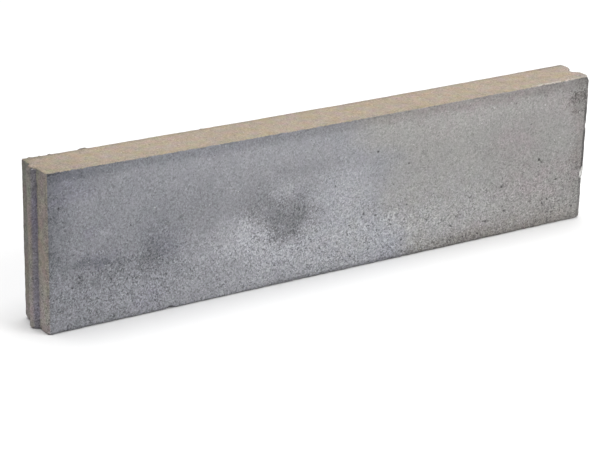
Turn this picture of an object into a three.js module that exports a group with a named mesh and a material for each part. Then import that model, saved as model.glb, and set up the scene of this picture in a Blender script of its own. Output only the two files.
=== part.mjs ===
// Precast concrete kerb stone: a plain slab edging with a full-height tongue at one end
// and the matching groove at the other, so that a row of stones keeps in line.
// Millimetres, +Z up, standing on its long narrow edge. The origin is on the bed, under
// the centre of the body; the tongue points along -X and the groove opens along +X.

import * as THREE from 'three';

// Body of the stone, without its tongue.
const BODY_LENGTH = 1000;
const BODY_HEIGHT = 250;
const BODY_THICKNESS = 80;

// Rounding of the rims where the mould closes round the top and the bed.
const RIM_ROUND = 2;

// Rounding of the four upright outer corners.
const CORNER_ROUND = 5;

// Tongue at the -X end, a trapezium in plan with a softened tip.
const TONGUE_PROUD = 9;
const TONGUE_ROOT_WIDTH = 23;
const TONGUE_TIP_WIDTH = 9;
const TONGUE_TIP_ROUND = 3;
const TONGUE_ROOT_FILLET = 2;

// Groove at the +X end takes the tongue of the next stone with room for a thin joint.
const JOINT_CLEARANCE = 1.5;
const GROOVE_MOUTH_ROUND = 3;

// Facets in each rounded corner of the outline, and across each rounded rim.
const ARC_STEPS = 5;
const RIM_STEPS = 3;

const CONCRETE_COLOUR = 0x85858a;
const CONCRETE_ROUGHNESS = 0.9;

// A rim can only roll round an outer corner that is a little rounder than itself.
const TIGHTEST_OUTER_ROUND = RIM_ROUND + 0.5;

// A corner of the plan: its place, and the radius that softens it.
function corner(x, y, radius) {
  return { point: new THREE.Vector2(x, y), radius };
}

// The points of the arc that rounds one corner of an anticlockwise outline.
function cornerArc(before, { point, radius }, after) {
  const toBefore = before.clone().sub(point).normalize();
  const toAfter = after.clone().sub(point).normalize();
  const isOuter = toAfter.cross(toBefore) > 0;
  const arcRadius = isOuter ? Math.max(radius, TIGHTEST_OUTER_ROUND) : radius;
  const halfAngle = Math.acos(toBefore.dot(toAfter)) / 2;
  const bisector = toBefore.clone().add(toAfter).normalize();
  const centre = point.clone().addScaledVector(bisector, arcRadius / Math.sin(halfAngle));
  const start = point.clone().addScaledVector(toBefore, arcRadius / Math.tan(halfAngle));
  const startAngle = Math.atan2(start.y - centre.y, start.x - centre.x);
  const sweep = (isOuter ? 1 : -1) * (Math.PI - 2 * halfAngle);
  return Array.from({ length: ARC_STEPS + 1 }, (_, step) => {
    const angle = startAngle + (sweep * step) / ARC_STEPS;
    return new THREE.Vector2(
      centre.x + arcRadius * Math.cos(angle),
      centre.y + arcRadius * Math.sin(angle),
    );
  });
}

// Joins the corners into one closed outline with every corner rounded.
function roundedOutline(corners) {
  const points = corners.flatMap((place, index) => {
    const before = corners[(index + corners.length - 1) % corners.length].point;
    const after = corners[(index + 1) % corners.length].point;
    return cornerArc(before, place, after);
  });
  return new THREE.Shape(points);
}

// The groove is the tongue's outline grown by the joint clearance on every side.
function grooveSizes() {
  const flankRun = (TONGUE_ROOT_WIDTH - TONGUE_TIP_WIDTH) / 2;
  const flankSlope = flankRun / TONGUE_PROUD;
  const flankGrowth = JOINT_CLEARANCE * Math.hypot(1, flankSlope);
  return {
    depth: TONGUE_PROUD + JOINT_CLEARANCE,
    mouthHalf: TONGUE_ROOT_WIDTH / 2 + flankGrowth,
    floorHalf: TONGUE_TIP_WIDTH / 2 + flankGrowth - JOINT_CLEARANCE * flankSlope,
    floorRound: TONGUE_TIP_ROUND + JOINT_CLEARANCE,
  };
}

// Plan of the stone, anticlockwise from the front corner at the groove end.
function planOutline() {
  const endX = BODY_LENGTH / 2;
  const faceY = BODY_THICKNESS / 2;
  const tipX = -endX - TONGUE_PROUD;
  const tipY = TONGUE_TIP_WIDTH / 2;
  const rootY = TONGUE_ROOT_WIDTH / 2;
  const groove = grooveSizes();
  const floorX = endX - groove.depth;
  return roundedOutline([
    corner(endX, -faceY, CORNER_ROUND),
    corner(endX, -groove.mouthHalf, GROOVE_MOUTH_ROUND),
    corner(floorX, -groove.floorHalf, groove.floorRound),
    corner(floorX, groove.floorHalf, groove.floorRound),
    corner(endX, groove.mouthHalf, GROOVE_MOUTH_ROUND),
    corner(endX, faceY, CORNER_ROUND),
    corner(-endX, faceY, CORNER_ROUND),
    corner(-endX, rootY, TONGUE_ROOT_FILLET),
    corner(tipX, tipY, TONGUE_TIP_ROUND),
    corner(tipX, -tipY, TONGUE_TIP_ROUND),
    corner(-endX, -rootY, TONGUE_ROOT_FILLET),
    corner(-endX, -faceY, CORNER_ROUND),
  ]);
}

// The whole stone is one casting: its plan drawn up the full height, with rounded rims.
function makeKerbStone() {
  const geometry = new THREE.ExtrudeGeometry(planOutline(), {
    depth: BODY_HEIGHT - 2 * RIM_ROUND,
    bevelThickness: RIM_ROUND,
    bevelSize: RIM_ROUND,
    bevelOffset: -RIM_ROUND,
    bevelSegments: RIM_STEPS,
  });
  geometry.translate(0, 0, RIM_ROUND);
  const concrete = new THREE.MeshStandardMaterial({
    color: CONCRETE_COLOUR,
    roughness: CONCRETE_ROUGHNESS,
    metalness: 0,
  });
  const stone = new THREE.Mesh(geometry, concrete);
  stone.name = 'kerb_stone';
  return stone;
}

const kerb = new THREE.Group();
kerb.add(makeKerbStone());

export default kerb;
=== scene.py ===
"""A weathered concrete edging kerb with a tongue end and a groove end, on a pale studio floor."""

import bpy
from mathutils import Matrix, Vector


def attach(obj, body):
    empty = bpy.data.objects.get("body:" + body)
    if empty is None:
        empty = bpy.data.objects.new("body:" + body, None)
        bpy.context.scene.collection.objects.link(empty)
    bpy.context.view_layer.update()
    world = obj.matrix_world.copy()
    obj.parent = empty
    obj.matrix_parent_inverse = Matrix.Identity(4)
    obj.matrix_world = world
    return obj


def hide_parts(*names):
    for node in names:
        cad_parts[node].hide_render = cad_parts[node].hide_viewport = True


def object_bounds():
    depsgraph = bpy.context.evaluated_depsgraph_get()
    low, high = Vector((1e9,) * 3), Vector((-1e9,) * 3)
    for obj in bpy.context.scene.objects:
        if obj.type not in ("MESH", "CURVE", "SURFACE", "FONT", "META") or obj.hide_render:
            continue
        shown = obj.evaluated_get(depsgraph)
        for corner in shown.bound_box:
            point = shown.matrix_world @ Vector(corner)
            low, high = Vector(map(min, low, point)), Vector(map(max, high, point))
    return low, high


bl_info = {
    "name": "Concrete edging kerb",
    "version": (1, 0, 0),
    "blender": (4, 5, 0),
    "location": "View3D > Sidebar > Kerb",
    "description": "Casts a weathered concrete kerb over its measured solid and sets a studio round it",
    "category": "Object",
}

import math
from collections import namedtuple
from functools import cached_property

import bpy
import numpy as np
from bpy.props import FloatProperty, FloatVectorProperty, IntProperty, PointerProperty
from mathutils import Matrix, Vector

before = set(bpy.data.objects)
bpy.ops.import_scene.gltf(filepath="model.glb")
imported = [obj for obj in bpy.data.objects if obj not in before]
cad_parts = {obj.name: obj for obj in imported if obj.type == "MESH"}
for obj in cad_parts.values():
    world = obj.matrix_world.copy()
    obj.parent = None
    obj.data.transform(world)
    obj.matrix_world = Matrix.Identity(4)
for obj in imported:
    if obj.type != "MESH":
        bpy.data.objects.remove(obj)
SOLID_LOW, SOLID_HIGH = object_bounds()

NODE = "kerb_stone"
MILLIMETRE = 0.001
LENGTH_END = SOLID_HIGH.x
HALF_THICKNESS = SOLID_HIGH.y
HEIGHT = SOLID_HIGH.z
TONGUE_PROUD = -LENGTH_END - SOLID_LOW.x
TONGUE_ROOT_HALF = 0.0115
TONGUE_TIP_HALF = 0.0045
GROOVE_DEPTH = 0.0105
GROOVE_MOUTH_HALF = 0.0134
GROOVE_FLOOR_HALF = 0.0052


def shade(red, green, blue):
    """A colour as it looks on a screen, 0 to 255, turned into the linear values that shaders use."""
    screen = np.array([red, green, blue]) / 255
    linear = np.where(screen <= 0.04045, screen / 12.92, ((screen + 0.055) / 1.055) ** 2.4)
    return tuple(float(value) for value in linear)


class CastingSizes(bpy.types.PropertyGroup):
    """Sizes of the relief and of the wear on the casting"""

    grid: FloatProperty(
        name="Grid",
        description="Spacing of the grid on which the casting is resampled before it is worn",
        default=0.0015,
        min=0.001,
        max=0.005,
        precision=4,
        unit="LENGTH",
    )
    triangles: IntProperty(
        name="Triangles",
        description="Number of triangles that the finished casting may have",
        default=192000,
        min=20000,
        max=199000,
    )
    hollow: FloatProperty(
        name="Top hollow",
        description="How far the top sinks half way along the kerb",
        default=0.0026,
        min=0.0,
        max=0.006,
        precision=4,
        unit="LENGTH",
    )
    wave: FloatProperty(
        name="Face wave",
        description="Depth of the slow waves over the broad faces",
        default=0.0004,
        min=0.0,
        max=0.002,
        precision=4,
        unit="LENGTH",
    )
    sand: FloatProperty(
        name="Sand depth",
        description="Depth of the sandy relief that is modelled in the surface",
        default=0.0003,
        min=0.0,
        max=0.001,
        precision=4,
        unit="LENGTH",
    )
    wear: FloatProperty(
        name="Arris wear",
        description="How deep the irregular wear along the arrises goes",
        default=0.0016,
        min=0.0,
        max=0.004,
        precision=4,
        unit="LENGTH",
    )
    seed: IntProperty(
        name="Seed",
        description="Start value of the random chips",
        default=7,
        min=0,
    )


class ConcreteColours(bpy.types.PropertyGroup):
    """Colours of the concrete"""

    cool: FloatVectorProperty(
        name="Cool face",
        description="Bluish grey of the duller end of the broad faces",
        default=shade(140.6, 141.3, 145.9),
        subtype="COLOR",
    )
    warm: FloatVectorProperty(
        name="Warm face",
        description="Warm grey of the dry end of the broad faces",
        default=shade(144.5, 143.5, 141.5),
        subtype="COLOR",
    )
    sandy: FloatVectorProperty(
        name="Sandy top",
        description="Beige of the open, sandy top",
        default=shade(156, 143, 127.5),
        subtype="COLOR",
    )
    land: FloatVectorProperty(
        name="End lands",
        description="Brownish grey of the flat lands beside the tongue and the groove",
        default=shade(140, 134, 126.5),
        subtype="COLOR",
    )
    joint: FloatVectorProperty(
        name="Tongue and groove",
        description="Dark bluish grey of the tongue and the groove",
        default=shade(121, 118, 125),
        subtype="COLOR",
    )
    # Partly painted highlight: the pale colour is pale enough to stand in for the lit facets of the
    # brightest breaks.
    broken: FloatVectorProperty(
        name="Fresh break",
        description="Pale colour of freshly broken concrete",
        default=shade(196, 195, 192),
        subtype="COLOR",
    )
    # Painted shade: the dark colour laid into the air pits.
    pit: FloatVectorProperty(
        name="Pits",
        description="Dark colour inside the air pits",
        default=shade(66, 64, 65),
        subtype="COLOR",
    )
    grime: FloatVectorProperty(
        name="Grime",
        description="Dark dirt on the tongue's head and along the back arris of the top",
        default=shade(92, 89, 84),
        subtype="COLOR",
    )
    moss: FloatVectorProperty(
        name="Moss",
        description="Green tinge of the thin growth at the tongue end",
        default=shade(118, 121, 101),
        subtype="COLOR",
    )


class StudioSettings(bpy.types.PropertyGroup):
    """The floor, the lights and the camera"""

    floor: FloatVectorProperty(
        name="Floor",
        description="Colour of the studio floor",
        default=(0.80, 0.80, 0.80),
        subtype="COLOR",
    )
    sky: FloatProperty(
        name="Surround light",
        description="Strength of the even light from all round",
        default=0.32,
        min=0.0,
        max=2.0,
    )
    overhead: FloatProperty(
        name="Overhead light",
        description="Strength of the wide soft light from above, in watts on each square metre",
        default=2.85,
        min=0.0,
        max=20.0,
    )
    key: FloatProperty(
        name="Key light",
        description="Power of the large soft light in front and to the right",
        default=114.0,
        min=0.0,
        max=1000.0,
        subtype="POWER",
    )
    lens: FloatProperty(
        name="Lens",
        description="Focal length of the camera, for a sensor 36 mm wide",
        default=0.1266,
        min=0.02,
        max=0.4,
        precision=4,
        unit="LENGTH",
    )
    stand: FloatVectorProperty(
        name="Camera place",
        description="Where the camera stands",
        default=(-1.738, -2.582, 1.241),
        subtype="TRANSLATION",
        unit="LENGTH",
    )
    turn: FloatProperty(
        name="Camera turn",
        description="How far the camera is turned from straight on, towards the groove end",
        default=math.radians(33.3),
        subtype="ANGLE",
    )
    tilt: FloatProperty(
        name="Camera tilt",
        description="How far the camera looks down",
        default=math.radians(20.7),
        subtype="ANGLE",
    )
    roll: FloatProperty(
        name="Camera roll",
        description="How far the camera leans to one side",
        default=math.radians(-1.32),
        subtype="ANGLE",
    )


# Random values that are the same at every run.

# Large primes that scatter the bits of a lattice point and of a start value.
AXIS_PRIMES = (73856093, 19349663, 83492791)
SALT_PRIME = 2654435761
STIR_PRIME = 1274126177

# The lattice stands askew to the kerb, so that its rows don't show on the flat faces.
LATTICE_TURN = np.array(Matrix.Rotation(0.61, 3, (0.4, 0.7, 0.59)))


def lattice_values(cell, salt):
    """The fixed value from 0 to 1 that belongs to each whole-number lattice point."""
    mixed = salt * SALT_PRIME
    for axis, prime in enumerate(AXIS_PRIMES):
        mixed = mixed ^ (cell[:, axis].astype(np.int64) * prime)
    mixed = ((mixed ^ (mixed >> 13)) * STIR_PRIME) & 0xFFFFFFFF
    return ((mixed ^ (mixed >> 16)) & 0xFFFFFF) / 0xFFFFFF


def soft_noise(points, width, salt):
    """Smooth random values from 0 to 1, in lumps about one width across."""
    scaled = points @ LATTICE_TURN / width
    cell = np.floor(scaled)
    part = scaled - cell
    part = part * part * (3 - 2 * part)
    total = np.zeros(len(points))
    for corner in range(8):
        step = np.array([corner & 1, corner >> 1 & 1, corner >> 2 & 1])
        weight = np.prod(np.where(step == 1, part, 1 - part), axis=1)
        total += weight * lattice_values(cell + step, salt)
    return total


def layered_noise(points, width, layers, salt):
    """Soft noise with finer and fainter layers added, from 0 to 1."""
    total = np.zeros(len(points))
    reach = 0.0
    for layer in range(layers):
        weight = 0.5**layer
        total += weight * soft_noise(points, width / 2**layer, salt + layer)
        reach += weight
    return total / reach


def ease(values, start, end):
    """0 at start, 1 at end and a smooth passage between them."""
    share = np.clip((values - start) / (end - start), 0, 1)
    return share * share * (3 - 2 * share)


# The shape of the casting.

Scoop = namedtuple("Scoop", "name place outward radius depth fresh")
Cut = namedtuple("Cut", "name place outward rough top", defaults=(1.0,))
Pit = namedtuple("Pit", "x z radius")
Arris = namedtuple("Arris", "name start end outward chips largest")
Burr = namedtuple("Burr", "x half_width height")

# Chips with a place of their own: where the arris was, which way they open, and how deep they go.
NAMED_SCOOPS = [
    Scoop("wide notch, groove end", (0.500, -0.040, 0.163), (0.90, -0.43, 0), 0.013, 0.0036, 0.2),
    Scoop("small nick, groove end", (0.500, -0.040, 0.187), (0.84, -0.55, 0), 0.008, 0.0008, 0.2),
    # The two fresh breaks take the full pale colour, a painted highlight of their lit facets on top of
    # the paler broken concrete.
    Scoop("fresh break, low", (0.4965, -0.040, 0.0780), (0.15, -0.98, 0.1), 0.0090, 0.0038, 1.0),
    Scoop("fresh break, high", (0.4975, -0.040, 0.0860), (0.2, -0.97, 0.1), 0.0070, 0.0026, 0.9),
    Scoop("foot nick, front", (-0.297, -0.040, 0.000), (0, -0.6, -0.8), 0.010, 0.0050, 0.5),
    Scoop("second foot nick, front", (-0.289, -0.040, 0.000), (0, -0.6, -0.8), 0.005, 0.0018, 0.3),
    Scoop("low notch, tongue end", (-0.500, -0.040, 0.031), (-0.8, -0.6, 0), 0.006, 0.0018, 0.2),
    Scoop("upper nick, tongue end", (-0.500, -0.040, 0.246), (-0.6, -0.6, 0.5), 0.007, 0.0014, 0.1),
    Scoop("top nick, front, one", (0.425, -0.040, 0.250), (0, -0.8, 0.6), 0.006, 0.0018, 0.3),
    Scoop("top nick, front, two", (0.442, -0.040, 0.250), (0, -0.8, 0.6), 0.008, 0.0020, 0.35),
    Scoop("top nick, front, three", (0.463, -0.040, 0.250), (0, -0.8, 0.6), 0.006, 0.0020, 0.3),
    Scoop("top nick, front, four", (0.395, -0.040, 0.250), (0, -0.7, 0.7), 0.005, 0.0012, 0.25),
    Scoop("foot chip, right, one", (0.390, -0.040, 0.000), (0, -0.8, -0.6), 0.006, 0.0022, 0.9),
    Scoop("foot chip, right, two", (0.402, -0.040, 0.000), (0, -0.8, -0.6), 0.005, 0.0018, 0.8),
    Scoop("back land, low chip", (-0.500, 0.040, 0.016), (-0.5, 0.8, -0.3), 0.008, 0.0016, 0.1),
    Scoop("groove mouth, head", (0.500, 0.0134, 0.250), (0.75, -0.45, 0.5), 0.010, 0.0030, 0.1),
    Scoop("tongue root, top", (-0.500, -0.0125, 0.250), (-0.7, 0.1, 0.7), 0.006, 0.0016, 0.1),
]

# Worn corners: each cut takes off what lies outside its plane, up to its top.
NAMED_CUTS = [
    Cut("set-back corner, groove end", (0.4956, -0.040, 0.0), (0.86, -0.51, 0.0), 0.0010, 0.0745),
    Cut("dark edge, groove end", (0.4992, -0.040, 0.0), (0.80, -0.60, 0.0), 0.0004, 0.1500),
    Cut("foot corner, groove end", (0.500, -0.040, 0.0088), (0.70, -0.30, -0.65), 0.0008),
    Cut("foot corner, groove end, low", (0.4885, -0.040, 0.0), (0.45, -0.30, -0.84), 0.0006),
    Cut("head corner, groove end", (0.4915, -0.040, 0.250), (0.70, -0.55, 0.46), 0.0006),
    Cut("head corner, groove end, low", (0.4992, -0.0385, 0.240), (0.80, -0.55, 0.22), 0.0006),
    Cut("tongue head", (-0.5090, 0.0, 0.2466), (-0.66, 0.0, 0.75), 0.0010),
    Cut("foot corner, tongue end, back", (-0.500, 0.040, 0.009), (-0.30, 0.55, -0.78), 0.0012),
    Cut("foot corner, groove end, back", (0.500, 0.040, 0.005), (0.55, 0.45, -0.70), 0.0008),
]

# Air pits in the front face, open enough to be modelled.
FRONT_PITS = [
    Pit(-0.480, 0.193, 0.0024),
    Pit(-0.473, 0.171, 0.0018),
    Pit(-0.364, 0.147, 0.0016),
    Pit(-0.316, 0.133, 0.0015),
    Pit(-0.004, 0.144, 0.0018),
    Pit(0.002, 0.047, 0.0018),
    Pit(0.047, 0.083, 0.0019),
    Pit(0.051, 0.088, 0.0024),
    Pit(0.056, 0.094, 0.0017),
    Pit(0.073, 0.081, 0.0021),
    Pit(0.075, 0.187, 0.0024),
    Pit(0.077, 0.056, 0.0022),
    Pit(0.126, 0.030, 0.0020),
    Pit(0.134, 0.088, 0.0019),
    Pit(0.135, 0.158, 0.0022),
    Pit(0.161, 0.039, 0.0019),
    Pit(0.223, 0.036, 0.0018),
    Pit(0.234, 0.049, 0.0024),
    Pit(0.272, 0.056, 0.0017),
    Pit(0.290, 0.031, 0.0020),
    Pit(0.295, 0.030, 0.0026),
    Pit(0.319, 0.037, 0.0017),
    Pit(0.323, 0.079, 0.0018),
    Pit(0.325, 0.085, 0.0026),
    Pit(0.328, 0.089, 0.0019),
    Pit(0.333, 0.042, 0.0029),
    Pit(0.379, 0.021, 0.0016),
    Pit(0.401, 0.119, 0.0030),
    Pit(0.407, 0.114, 0.0021),
    Pit(0.413, 0.041, 0.0023),
    Pit(0.419, 0.104, 0.0016),
    Pit(0.423, 0.046, 0.0019),
    Pit(0.434, 0.021, 0.0019),
    Pit(0.440, 0.079, 0.0022),
    Pit(0.453, 0.076, 0.0016),
    Pit(0.477, 0.024, 0.0019),
]

# Thin burrs that stand on the back arris of the top, which is sunk a little round them.
LARGE_BURR = Burr(-0.401, 0.009, 0.0022)
BACK_BURRS = [
    Burr(-0.487, 0.003, 0.0012),
    Burr(-0.471, 0.002, 0.0012),
    Burr(-0.455, 0.003, 0.0012),
    LARGE_BURR,
    Burr(-0.200, 0.003, 0.0012),
]
BURR_ROOM = 0.0012

# Start values of the random patterns, one for each use. Lists add each entry's number, and the
# top of a cut adds its own to the cut's.
CUT_TOP_SALT = 50
CUT_SALT = 900
RANDOM_CHIP_SALT = 100
NAMED_CHIP_SALT = 600
PIT_SALT = 40
WAVE_SALT = 11
SAND_SALT = 21
RUB_SALT = 31

# How freshly broken the small random chips and the worn corners look, and how much has to be
# taken off before a chip or a cut begins to look so, and looks so fully.
RANDOM_CHIP_FRESH = 0.2
CUT_FRESH = 0.15
CHIP_PASSAGE = (0.00015, 0.0006)
CUT_PASSAGE = (0.0002, 0.001)

# The random chips: where along an arris they lie, the smallest radius, how strongly small ones
# outnumber large ones, their depths as shares of the radius, and how far they lean at random.
CHIP_RANGE = (0.01, 0.99)
SMALLEST_CHIP = 0.002
CHIP_SIZE_POWER = 2.5
CHIP_DEPTHS = (0.10, 0.30)
CHIP_LEAN = 0.15

# The rough floor of a chip: lumps as a share of its radius but no smaller than the least, and
# their height as a share of its depth.
CHIP_LUMP = 0.6
LEAST_LUMP = 0.003
CHIP_ROUGHNESS = 0.7

# The lumps of a cut's floor, and how far its top wanders, in lumps of what width.
CUT_LUMP = 0.006
CUT_TOP_WANDER = 0.002
CUT_TOP_LUMP = 0.004

# The lumps of the slow waves, of the sand and of the wear along the arrises.
WAVE_LUMP = 0.09
SAND_LUMP = 0.0065
RUB_LUMP = 0.011

# The surface stays finely meshed this near to an arris, and where it is broken more than this.
FINE_EDGE = 0.0036
FINE_BREAK = 0.03

# How readily the plain and the fine parts of the surface are thinned, and how much that counts.
PLAIN_WEIGHT = 1.0
FINE_WEIGHT = 0.05
WEIGHT_FACTOR = 0.01

# How deep an air pit is, as a share of its radius.
PIT_DEPTH = 0.75

# The power with which the hollow of the top dies out downwards.
HOLLOW_POWER = 6


def unit(direction):
    """The direction with a length of one."""
    values = np.array(direction, float)
    return values / np.linalg.norm(values)


def tongue_reach(y):
    """Where the tongue end's surface lies along the length, for each distance from the middle."""
    slope = (TONGUE_ROOT_HALF - np.abs(y)) / (TONGUE_ROOT_HALF - TONGUE_TIP_HALF)
    return -LENGTH_END - TONGUE_PROUD * np.clip(slope, 0, 1)


def groove_reach(y):
    """Where the groove end's surface lies along the length, for each distance from the middle."""
    slope = (GROOVE_MOUTH_HALF - np.abs(y)) / (GROOVE_MOUTH_HALF - GROOVE_FLOOR_HALF)
    return LENGTH_END - GROOVE_DEPTH * np.clip(slope, 0, 1)


def arris_distance(points):
    """How far each surface point lies from the nearest arris."""
    x, y, z = points.T
    from_ends = np.minimum(x - tongue_reach(y), groove_reach(y) - x)
    in_plan = np.minimum(HALF_THICKNESS - np.abs(y), from_ends)
    in_height = np.minimum(z, HEIGHT - z)
    level = np.maximum(in_plan, in_height)
    upright = np.full(len(points), 1.0)
    corners = [
        (-LENGTH_END, HALF_THICKNESS),
        (LENGTH_END, HALF_THICKNESS),
        (-LENGTH_END, TONGUE_ROOT_HALF),
        (SOLID_LOW.x, TONGUE_TIP_HALF),
        (LENGTH_END, GROOVE_MOUTH_HALF),
        (LENGTH_END - GROOVE_DEPTH, GROOVE_FLOOR_HALF),
    ]
    for corner_x, corner_y in corners:
        upright = np.minimum(upright, np.hypot(x - corner_x, np.abs(y) - corner_y))
    return np.minimum(level, upright)


def arrises():
    """The arrises that get random chips, with how many and how large."""
    far, side, top = LENGTH_END, HALF_THICKNESS, HEIGHT
    made = [
        Arris("top front", (-far, -side, top), (far, -side, top), (0, -0.7, 0.7), 46, 0.0075),
        Arris("top back", (-far, side, top), (far, side, top), (0, 0.6, 0.8), 46, 0.009),
        Arris("foot front", (-far, -side, 0), (far, -side, 0), (0, -0.7, -0.7), 34, 0.007),
        Arris("foot back", (-far, side, 0), (far, side, 0), (0, 0.7, -0.7), 34, 0.012),
    ]
    for x in (-far, far):
        for y in (-side, side):
            outward = (math.copysign(0.7, x), math.copysign(0.7, y), 0)
            made.append(Arris("end corner", (x, y, 0), (x, y, top), outward, 14, 0.008))
        for z in (0, top):
            outward = (math.copysign(0.7, x), 0, 0.7 if z else -0.7)
            for y in (-side, TONGUE_ROOT_HALF):
                ends = (x, y, z), (x, y + side - TONGUE_ROOT_HALF, z)
                made.append(Arris("land end", *ends, outward, 3, 0.006))
    for y in (-TONGUE_TIP_HALF, TONGUE_TIP_HALF):
        outward = (-0.9, math.copysign(0.45, y), 0)
        made.append(Arris("tongue", (SOLID_LOW.x, y, 0), (SOLID_LOW.x, y, top), outward, 9, 0.007))
    for y in (-GROOVE_MOUTH_HALF, GROOVE_MOUTH_HALF):
        outward = (0.9, math.copysign(0.45, -y), 0)
        made.append(Arris("groove", (far, y, 0), (far, y, top), outward, 9, 0.008))
    return made


def random_scoops(seed):
    """Small chips scattered along the arrises, most of them tiny."""
    dice = np.random.default_rng(seed)
    made = []
    for arris in arrises():
        start, end = np.array(arris.start), np.array(arris.end)
        for _ in range(arris.chips):
            place = start + (end - start) * dice.uniform(*CHIP_RANGE)
            share = dice.random() ** CHIP_SIZE_POWER
            radius = SMALLEST_CHIP + (arris.largest - SMALLEST_CHIP) * share
            depth = radius * dice.uniform(*CHIP_DEPTHS)
            lean = unit(arris.outward) + dice.normal(0, CHIP_LEAN, 3)
            chip = Scoop(arris.name, tuple(place), tuple(lean), radius, depth, RANDOM_CHIP_FRESH)
            made.append(chip)
    return made


def take_scoop(points, broken, scoop, salt):
    """Pushes the points inside one round chip back onto its rough floor."""
    outward = unit(scoop.outward)
    centre = np.array(scoop.place) + outward * (scoop.radius - scoop.depth)
    near = np.flatnonzero(np.abs(points - centre).max(axis=1) < scoop.radius * 1.2)
    if not len(near):
        return
    offset = points[near] - centre
    distance = np.linalg.norm(offset, axis=1)
    lump = max(scoop.radius * CHIP_LUMP, LEAST_LUMP)
    rough = layered_noise(points[near], lump, 2, salt) - 0.5
    floor = scoop.radius + scoop.depth * CHIP_ROUGHNESS * rough
    inside = distance < floor
    chosen = near[inside]
    stretch = floor[inside] / np.maximum(distance[inside], 1e-6)
    moved = (stretch - 1) * distance[inside]
    points[chosen] = centre + offset[inside] * stretch[:, None]
    broken[chosen] = np.maximum(broken[chosen], scoop.fresh * ease(moved, *CHIP_PASSAGE))


def take_cut(points, broken, cut, salt):
    """Takes a worn corner back to a rough, slightly rounded plane."""
    outward = unit(cut.outward)
    place = np.array(cut.place)
    beyond = (points - place) @ outward
    wander = soft_noise(points, CUT_TOP_LUMP, salt + CUT_TOP_SALT) - 0.5
    ragged_top = cut.top + CUT_TOP_WANDER * wander
    near = np.flatnonzero((beyond > -0.004) & (points[:, 2] < ragged_top))
    rough = layered_noise(points[near], CUT_LUMP, 3, salt) * cut.rough
    beyond = beyond[near] + rough
    over = beyond > 0
    chosen = near[over]
    points[chosen] -= beyond[over][:, None] * outward
    broken[chosen] = np.maximum(broken[chosen], CUT_FRESH * ease(beyond[over], *CUT_PASSAGE))


def pit_depths(points):
    """How deep each point of the front face sinks into a named air pit."""
    depth = np.zeros(len(points))
    on_front = points[:, 1] < -HALF_THICKNESS + 0.003
    for number, pit in enumerate(FRONT_PITS):
        away = np.hypot(points[:, 0] - pit.x, points[:, 2] - pit.z)
        near = np.flatnonzero(on_front & (away < 2 * pit.radius))
        wobble = 0.75 + 0.5 * soft_noise(points[near], 0.002, PIT_SALT + number)
        sunk = pit.radius * PIT_DEPTH * (1 - ease(away[near] / (pit.radius * wobble), 0.35, 1.0))
        depth[near] = np.maximum(depth[near], sunk)
    return depth


def resampled(obj, spacing):
    """The object's closed surface resampled on an even grid."""
    remesh = obj.modifiers.new("even grid", "REMESH")
    remesh.mode = "VOXEL"
    remesh.voxel_size = spacing
    remesh.adaptivity = 0.0
    return applied(obj)


def applied(obj):
    """The object's mesh with its modifiers applied, put back on the object."""
    graph = bpy.context.evaluated_depsgraph_get()
    mesh = bpy.data.meshes.new_from_object(obj.evaluated_get(graph))
    obj.modifiers.clear()
    old = obj.data
    obj.data = mesh
    bpy.data.meshes.remove(old)
    return mesh


def read_triples(items, field):
    """One triple of each of the mesh's items, as an array."""
    flat = np.empty(len(items) * 3, np.float32)
    items.foreach_get(field, flat)
    return flat.reshape(-1, 3).astype(float)


def read_points(mesh):
    """The mesh's points."""
    return read_triples(mesh.vertices, "co")


def write_points(mesh, points):
    """Moves the mesh's points."""
    mesh.vertices.foreach_set("co", points.astype(np.float32).ravel())
    mesh.update()


def break_and_chip(mesh, sizes):
    """Breaks the corners and chips the arrises. Returns how freshly broken each point is."""
    points = read_points(mesh)
    broken = np.zeros(len(points))
    for number, cut in enumerate(NAMED_CUTS):
        take_cut(points, broken, cut, CUT_SALT + number)
    for number, scoop in enumerate(random_scoops(sizes.seed)):
        take_scoop(points, broken, scoop, RANDOM_CHIP_SALT + number)
    for number, scoop in enumerate(NAMED_SCOOPS):
        take_scoop(points, broken, scoop, NAMED_CHIP_SALT + number)
    write_points(mesh, points)
    return broken


def relief_depths(points, normals, broken, sizes):
    """How far each point sinks for waves, sand, worn arrises and pits."""
    upward = ease(normals[:, 2], 0.4, 0.8)
    low = 1 - ease(points[:, 2], 0.04, 0.15)
    wave = layered_noise(points, WAVE_LUMP, 2, WAVE_SALT) * sizes.wave * (1 + upward)
    coarse = layered_noise(points, SAND_LUMP, 2, SAND_SALT)
    grit = np.clip(0.5 + 1.6 * (coarse - 0.5), 0, 1) * sizes.sand
    grit *= 0.55 + 0.45 * low + 0.9 * upward + 0.8 * broken
    edge = arris_distance(points)
    rub = np.clip(layered_noise(points, RUB_LUMP, 3, RUB_SALT) - 0.38, 0, 1) * 1.6
    worn = sizes.wear * rub * (1 - ease(edge, 0.0005, 0.0055))
    pits = pit_depths(points)
    return wave + grit + worn + pits, pits


def hollow_top(points, sizes):
    """Lets the top sink half way along, and leaves burrs standing on its back arris."""
    along = (points[:, 0] + LENGTH_END) / (2 * LENGTH_END)
    sink = sizes.hollow * np.clip(4 * along * (1 - along), 0, 1)
    near_back = ease(points[:, 1], HALF_THICKNESS - 0.006, HALF_THICKNESS - 0.001)
    room = np.full(len(points), BURR_ROOM)
    for burr in BACK_BURRS:
        away = np.abs(points[:, 0] - burr.x)
        room -= burr.height * (1 - ease(away, burr.half_width * 0.4, burr.half_width))
    sink += room * near_back * ease(points[:, 0], -0.499, -0.494)
    share = np.clip(points[:, 2] / HEIGHT, 0, 1)
    points[:, 2] -= sink * share**HOLLOW_POWER


def store(mesh, name, kind, values):
    """Keeps values on the mesh's points under a name, for the material to read."""
    layer = mesh.attributes.new(name, kind, "POINT")
    field = "vector" if kind == "FLOAT_VECTOR" else "value"
    layer.data.foreach_set(field, values.astype(np.float32).ravel())


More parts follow.
